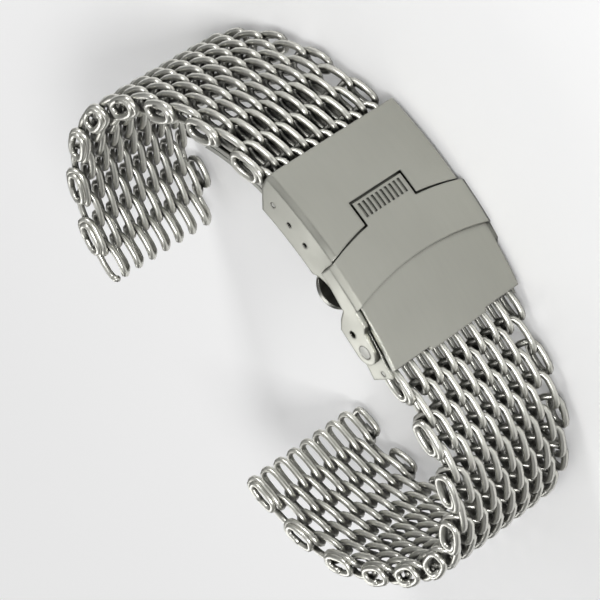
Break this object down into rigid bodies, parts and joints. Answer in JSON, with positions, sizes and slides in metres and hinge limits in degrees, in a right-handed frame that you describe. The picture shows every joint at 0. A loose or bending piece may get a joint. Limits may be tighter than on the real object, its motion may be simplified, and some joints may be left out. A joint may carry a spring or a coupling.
{
  "type": "watch bracelet",
  "caption": "Woven steel mesh watch bracelet with a folding clasp, a flip lock over the cover and open end loops for watch spring bars.",
  "frame": {"origin": "middle of the bounding box, at the underside on which the bracelet stands on its far edge", "axes": "+X along the clasp towards the end with the adjustment holes, +Y from the clasp to the open back, +Z across the band to its near edge"},
  "size_m": [0.0776, 0.0572, 0.024],
  "materials": {
    "clasp_sheet": "satin with long fine brushing, edges polished",
    "mesh_wire": "polished round wire",
    "bars_and_pins": "turned and polished"
  },
  "bodies": {
    "blade_and_bracket": {"lower_blade": "clasp_sheet", "end_bracket": "clasp_sheet", "flip_rivets": "bars_and_pins", "blade_hinge_pin": "bars_and_pins", "bracket_bar_barrel": "bars_and_pins", "bracket_bar_spring": "bars_and_pins"},
    "middle_blade": {"middle_blade": "clasp_sheet", "cover_hinge_pin": "bars_and_pins"},
    "cover": {"cover": "clasp_sheet", "cover_hinge_lugs": "clasp_sheet", "cover_bar_barrel": "bars_and_pins", "cover_bar_spring": "bars_and_pins"},
    "flip_lock": {"flip_lock": "clasp_sheet"},
    "cover_bar_tip_near": {"cover_bar_tip_near": "bars_and_pins"},
    "cover_bar_tip_far": {"cover_bar_tip_far": "bars_and_pins"},
    "bracket_bar_tip_near": {"bracket_bar_tip_near": "bars_and_pins"},
    "bracket_bar_tip_far": {"bracket_bar_tip_far": "bars_and_pins"},
    "upper_row_01": {"upper_row_01": "mesh_wire"},
    "upper_row_02": {"upper_row_02": "mesh_wire"},
    "upper_row_03": {"upper_row_03": "mesh_wire"},
    "upper_row_04": {"upper_row_04": "mesh_wire"},
    "upper_row_05": {"upper_row_05": "mesh_wire"},
    "upper_row_06": {"upper_row_06": "mesh_wire"},
    "upper_row_07": {"upper_row_07": "mesh_wire"},
    "upper_row_08": {"upper_row_08": "mesh_wire"},
    "upper_row_09": {"upper_row_09": "mesh_wire"},
    "upper_row_10": {"upper_row_10": "mesh_wire"},
    "upper_row_11": {"upper_row_11": "mesh_wire"},
    "upper_row_12": {"upper_row_12": "mesh_wire"},
    "upper_row_13": {"upper_row_13": "mesh_wire"},
    "upper_row_14": {"upper_row_14": "mesh_wire"},
    "upper_row_15": {"upper_row_15": "mesh_wire"},
    "upper_row_16": {"upper_row_16": "mesh_wire"},
    "upper_row_17": {"upper_row_17": "mesh_wire"},
    "lower_row_01": {"lower_row_01": "mesh_wire"},
    "lower_row_02": {"lower_row_02": "mesh_wire"},
    "lower_row_03": {"lower_row_03": "mesh_wire"},
    "lower_row_04": {"lower_row_04": "mesh_wire"},
    "lower_row_05": {"lower_row_05": "mesh_wire"},
    "lower_row_06": {"lower_row_06": "mesh_wire"},
    "lower_row_07": {"lower_row_07": "mesh_wire"},
    "lower_row_08": {"lower_row_08": "mesh_wire"},
    "lower_row_09": {"lower_row_09": "mesh_wire"},
    "lower_row_10": {"lower_row_10": "mesh_wire"},
    "lower_row_11": {"lower_row_11": "mesh_wire"},
    "lower_row_12": {"lower_row_12": "mesh_wire"},
    "lower_row_13": {"lower_row_13": "mesh_wire"},
    "lower_row_14": {"lower_row_14": "mesh_wire"},
    "lower_row_15": {"lower_row_15": "mesh_wire"},
    "lower_row_16": {"lower_row_16": "mesh_wire"},
    "lower_row_17": {"lower_row_17": "mesh_wire"},
    "lower_row_18": {"lower_row_18": "mesh_wire"},
    "lower_row_19": {"lower_row_19": "mesh_wire"}
  },
  "joints": [
    {"name": "blade_hinge", "type": "hinge", "parent": "blade_and_bracket", "child": "middle_blade", "pos_m": [0.0251, -0.01448, 0.01198], "axis": [0, 0, 1], "range_deg": [0, 60]},
    {"name": "cover_hinge", "type": "hinge", "parent": "middle_blade", "child": "cover", "pos_m": [0.00513, -0.02348, 0.01198], "axis": [0, 0, 1], "range_deg": [-111, 0]},
    {"name": "flip_hinge", "type": "hinge", "parent": "blade_and_bracket", "child": "flip_lock", "pos_m": [-0.00826, -0.02381, 0.01198], "axis": [0, 0, 1], "range_deg": [-118.2, 0]},
    {"name": "cover_bar_tip_near_slide", "type": "slide", "parent": "cover", "child": "cover_bar_tip_near", "axis": [0, 0, -1], "range_m": [0, 0.001], "stiffness_N_per_m": 400, "springref_m": -0.0005},
    {"name": "cover_bar_tip_far_slide", "type": "slide", "parent": "cover", "child": "cover_bar_tip_far", "axis": [0, 0, 1], "range_m": [0, 0.001], "stiffness_N_per_m": 400, "springref_m": -0.0005},
    {"name": "bracket_bar_tip_near_slide", "type": "slide", "parent": "blade_and_bracket", "child": "bracket_bar_tip_near", "axis": [0, 0, -1], "range_m": [0, 0.001], "stiffness_N_per_m": 400, "springref_m": -0.0005},
    {"name": "bracket_bar_tip_far_slide", "type": "slide", "parent": "blade_and_bracket", "child": "bracket_bar_tip_far", "axis": [0, 0, 1], "range_m": [0, 0.001], "stiffness_N_per_m": 400, "springref_m": -0.0005},
    {"name": "upper_row_01_bend", "type": "hinge", "parent": "cover", "child": "upper_row_01", "pos_m": [0.01331, -0.02377, 0.01198], "axis": [0, 0, 1], "range_deg": [-8, 0]},
    {"name": "upper_row_02_bend", "type": "hinge", "parent": "upper_row_01", "child": "upper_row_02", "pos_m": [0.01722, -0.02257, 0.01198], "axis": [0, 0, 1], "range_deg": [-8, 0]},
    {"name": "upper_row_03_bend", "type": "hinge", "parent": "upper_row_02", "child": "upper_row_03", "pos_m": [0.02101, -0.02082, 0.01198], "axis": [0, 0, 1], "range_deg": [-8, 0]},
    {"name": "upper_row_04_bend", "type": "hinge", "parent": "upper_row_03", "child": "upper_row_04", "pos_m": [0.02454, -0.01858, 0.01198], "axis": [0, 0, 1], "range_deg": [-8, 0]},
    {"name": "upper_row_05_bend", "type": "hinge", "parent": "upper_row_04", "child": "upper_row_05", "pos_m": [0.02772, -0.01587, 0.01198], "axis": [0, 0, 1], "range_deg": [-8, 0]},
    {"name": "upper_row_06_bend", "type": "hinge", "parent": "upper_row_05", "child": "upper_row_06", "pos_m": [0.03051, -0.01276, 0.01198], "axis": [0, 0, 1], "range_deg": [-8, 2]},
    {"name": "upper_row_07_bend", "type": "hinge", "parent": "upper_row_06", "child": "upper_row_07", "pos_m": [0.03285, -0.0093, 0.01198], "axis": [0, 0, 1], "range_deg": [-8, 2]},
    {"name": "upper_row_08_bend", "type": "hinge", "parent": "upper_row_07", "child": "upper_row_08", "pos_m": [0.03469, -0.00556, 0.01198], "axis": [0, 0, 1], "range_deg": [-8, 2]},
    {"name": "upper_row_09_bend", "type": "hinge", "parent": "upper_row_08", "child": "upper_row_09", "pos_m": [0.03602, -0.0016, 0.01198], "axis": [0, 0, 1], "range_deg": [-8, 2]},
    {"name": "upper_row_10_bend", "type": "hinge", "parent": "upper_row_09", "child": "upper_row_10", "pos_m": [0.03679, 0.00251, 0.01198], "axis": [0, 0, 1], "range_deg": [-8, 2]},
    {"name": "upper_row_11_bend", "type": "hinge", "parent": "upper_row_10", "child": "upper_row_11", "pos_m": [0.037, 0.00668, 0.01198], "axis": [0, 0, 1], "range_deg": [-8, 2]},
    {"name": "upper_row_12_bend", "type": "hinge", "parent": "upper_row_11", "child": "upper_row_12", "pos_m": [0.03648, 0.01082, 0.01198], "axis": [0, 0, 1], "range_deg": [-8, 2]},
    {"name": "upper_row_13_bend", "type": "hinge", "parent": "upper_row_12", "child": "upper_row_13", "pos_m": [0.03516, 0.01478, 0.01198], "axis": [0, 0, 1], "range_deg": [-8, 2]},
    {"name": "upper_row_14_bend", "type": "hinge", "parent": "upper_row_13", "child": "upper_row_14", "pos_m": [0.03308, 0.0184, 0.01198], "axis": [0, 0, 1], "range_deg": [-8, 2]},
    {"name": "upper_row_15_bend", "type": "hinge", "parent": "upper_row_14", "child": "upper_row_15", "pos_m": [0.03034, 0.02155, 0.01198], "axis": [0, 0, 1], "range_deg": [-8, 2]},
    {"name": "upper_row_16_bend", "type": "hinge", "parent": "upper_row_15", "child": "upper_row_16", "pos_m": [0.02704, 0.0241, 0.01198], "axis": [0, 0, 1], "range_deg": [-8, 2]},
    {"name": "upper_row_17_bend", "type": "hinge", "parent": "upper_row_16", "child": "upper_row_17", "pos_m": [0.0233, 0.02595, 0.01198], "axis": [0, 0, 1], "range_deg": [-8, 2]},
    {"name": "lower_row_01_bend", "type": "hinge", "parent": "blade_and_bracket", "child": "lower_row_01", "pos_m": [-0.01178, -0.02333, 0.01198], "axis": [0, 0, 1], "range_deg": [-2, 8]},
    {"name": "lower_row_02_bend", "type": "hinge", "parent": "lower_row_01", "child": "lower_row_02", "pos_m": [-0.01573, -0.02292, 0.01198], "axis": [0, 0, 1], "range_deg": [-2, 8]},
    {"name": "lower_row_03_bend", "type": "hinge", "parent": "lower_row_02", "child": "lower_row_03", "pos_m": [-0.01963, -0.02225, 0.01198], "axis": [0, 0, 1], "range_deg": [-2, 8]},
    {"name": "lower_row_04_bend", "type": "hinge", "parent": "lower_row_03", "child": "lower_row_04", "pos_m": [-0.02345, -0.02128, 0.01198], "axis": [0, 0, 1], "range_deg": [-2, 8]},
    {"name": "lower_row_05_bend", "type": "hinge", "parent": "lower_row_04", "child": "lower_row_05", "pos_m": [-0.02704, -0.01964, 0.01198], "axis": [0, 0, 1], "range_deg": [-2, 8]},
    {"name": "lower_row_06_bend", "type": "hinge", "parent": "lower_row_05", "child": "lower_row_06", "pos_m": [-0.03024, -0.01732, 0.01198], "axis": [0, 0, 1], "range_deg": [-2, 8]},
    {"name": "lower_row_07_bend", "type": "hinge", "parent": "lower_row_06", "child": "lower_row_07", "pos_m": [-0.03292, -0.01442, 0.01198], "axis": [0, 0, 1], "range_deg": [-2, 8]},
    {"name": "lower_row_08_bend", "type": "hinge", "parent": "lower_row_07", "child": "lower_row_08", "pos_m": [-0.03497, -0.01105, 0.01198], "axis": [0, 0, 1], "range_deg": [-2, 8]},
    {"name": "lower_row_09_bend", "type": "hinge", "parent": "lower_row_08", "child": "lower_row_09", "pos_m": [-0.03633, -0.00735, 0.01198], "axis": [0, 0, 1], "range_deg": [-2, 8]},
    {"name": "lower_row_10_bend", "type": "hinge", "parent": "lower_row_09", "child": "lower_row_10", "pos_m": [-0.03693, -0.00345, 0.01198], "axis": [0, 0, 1], "range_deg": [-2, 8]},
    {"name": "lower_row_11_bend", "type": "hinge", "parent": "lower_row_10", "child": "lower_row_11", "pos_m": [-0.03686, 0.0005, 0.01198], "axis": [0, 0, 1], "range_deg": [-2, 8]},
    {"name": "lower_row_12_bend", "type": "hinge", "parent": "lower_row_11", "child": "lower_row_12", "pos_m": [-0.03641, 0.00443, 0.01198], "axis": [0, 0, 1], "range_deg": [-2, 8]},
    {"name": "lower_row_13_bend", "type": "hinge", "parent": "lower_row_12", "child": "lower_row_13", "pos_m": [-0.03559, 0.00829, 0.01198], "axis": [0, 0, 1], "range_deg": [-2, 8]},
    {"name": "lower_row_14_bend", "type": "hinge", "parent": "lower_row_13", "child": "lower_row_14", "pos_m": [-0.03441, 0.01206, 0.01198], "axis": [0, 0, 1], "range_deg": [-2, 8]},
    {"name": "lower_row_15_bend", "type": "hinge", "parent": "lower_row_14", "child": "lower_row_15", "pos_m": [-0.03279, 0.01566, 0.01198], "axis": [0, 0, 1], "range_deg": [-2, 8]},
    {"name": "lower_row_16_bend", "type": "hinge", "parent": "lower_row_15", "child": "lower_row_16", "pos_m": [-0.03049, 0.01887, 0.01198], "axis": [0, 0, 1], "range_deg": [-2, 8]},
    {"name": "lower_row_17_bend", "type": "hinge", "parent": "lower_row_16", "child": "lower_row_17", "pos_m": [-0.02758, 0.02153, 0.01198], "axis": [0, 0, 1], "range_deg": [-2, 8]},
    {"name": "lower_row_18_bend", "type": "hinge", "parent": "lower_row_17", "child": "lower_row_18", "pos_m": [-0.02418, 0.02354, 0.01198], "axis": [0, 0, 1], "range_deg": [-2, 8]},
    {"name": "lower_row_19_bend", "type": "hinge", "parent": "lower_row_18", "child": "lower_row_19", "pos_m": [-0.02044, 0.02479, 0.01198], "axis": [0, 0, 1], "range_deg": [-2, 8]}
  ],
  "couplings": [
    {"joint": "cover_hinge", "follows": "blade_hinge", "ratio": -1.85},
    {"joint": "flip_hinge", "follows": "blade_hinge", "ratio": -1.97},
    {"joint": "upper_row_01_bend", "follows": "upper_row_02_bend", "ratio": 1},
    {"joint": "upper_row_03_bend", "follows": "upper_row_02_bend", "ratio": 1},
    {"joint": "upper_row_04_bend", "follows": "upper_row_02_bend", "ratio": 1},
    {"joint": "upper_row_05_bend", "follows": "upper_row_02_bend", "ratio": 1},
    {"joint": "upper_row_07_bend", "follows": "upper_row_06_bend", "ratio": 1},
    {"joint": "upper_row_08_bend", "follows": "upper_row_06_bend", "ratio": 1},
    {"joint": "upper_row_09_bend", "follows": "upper_row_06_bend", "ratio": 1},
    {"joint": "upper_row_10_bend", "follows": "upper_row_06_bend", "ratio": 1},
    {"joint": "upper_row_11_bend", "follows": "upper_row_06_bend", "ratio": 1},
    {"joint": "upper_row_12_bend", "follows": "upper_row_06_bend", "ratio": 1},
    {"joint": "upper_row_13_bend", "follows": "upper_row_06_bend", "ratio": 1},
    {"joint": "upper_row_14_bend", "follows": "upper_row_06_bend", "ratio": 1},
    {"joint": "upper_row_15_bend", "follows": "upper_row_06_bend", "ratio": 1},
    {"joint": "upper_row_16_bend", "follows": "upper_row_06_bend", "ratio": 1},
    {"joint": "upper_row_17_bend", "follows": "upper_row_06_bend", "ratio": 1},
    {"joint": "lower_row_01_bend", "follows": "lower_row_02_bend", "ratio": 1},
    {"joint": "lower_row_03_bend", "follows": "lower_row_02_bend", "ratio": 1},
    {"joint": "lower_row_04_bend", "follows": "lower_row_02_bend", "ratio": 1},
    {"joint": "lower_row_05_bend", "follows": "lower_row_02_bend", "ratio": 1},
    {"joint": "lower_row_06_bend", "follows": "lower_row_02_bend", "ratio": 1},
    {"joint": "lower_row_07_bend", "follows": "lower_row_02_bend", "ratio": 1},
    {"joint": "lower_row_08_bend", "follows": "lower_row_02_bend", "ratio": 1},
    {"joint": "lower_row_09_bend", "follows": "lower_row_02_bend", "ratio": 1},
    {"joint": "lower_row_10_bend", "follows": "lower_row_02_bend", "ratio": 1},
    {"joint": "lower_row_11_bend", "follows": "lower_row_02_bend", "ratio": 1},
    {"joint": "lower_row_12_bend", "follows": "lower_row_02_bend", "ratio": 1},
    {"joint": "lower_row_13_bend", "follows": "lower_row_02_bend", "ratio": 1},
    {"joint": "lower_row_14_bend", "follows": "lower_row_02_bend", "ratio": 1},
    {"joint": "lower_row_15_bend", "follows": "lower_row_02_bend", "ratio": 1},
    {"joint": "lower_row_16_bend", "follows": "lower_row_02_bend", "ratio": 1},
    {"joint": "lower_row_17_bend", "follows": "lower_row_02_bend", "ratio": 1},
    {"joint": "lower_row_18_bend", "follows": "lower_row_02_bend", "ratio": 1},
    {"joint": "lower_row_19_bend", "follows": "lower_row_02_bend", "ratio": 1}
  ]
}
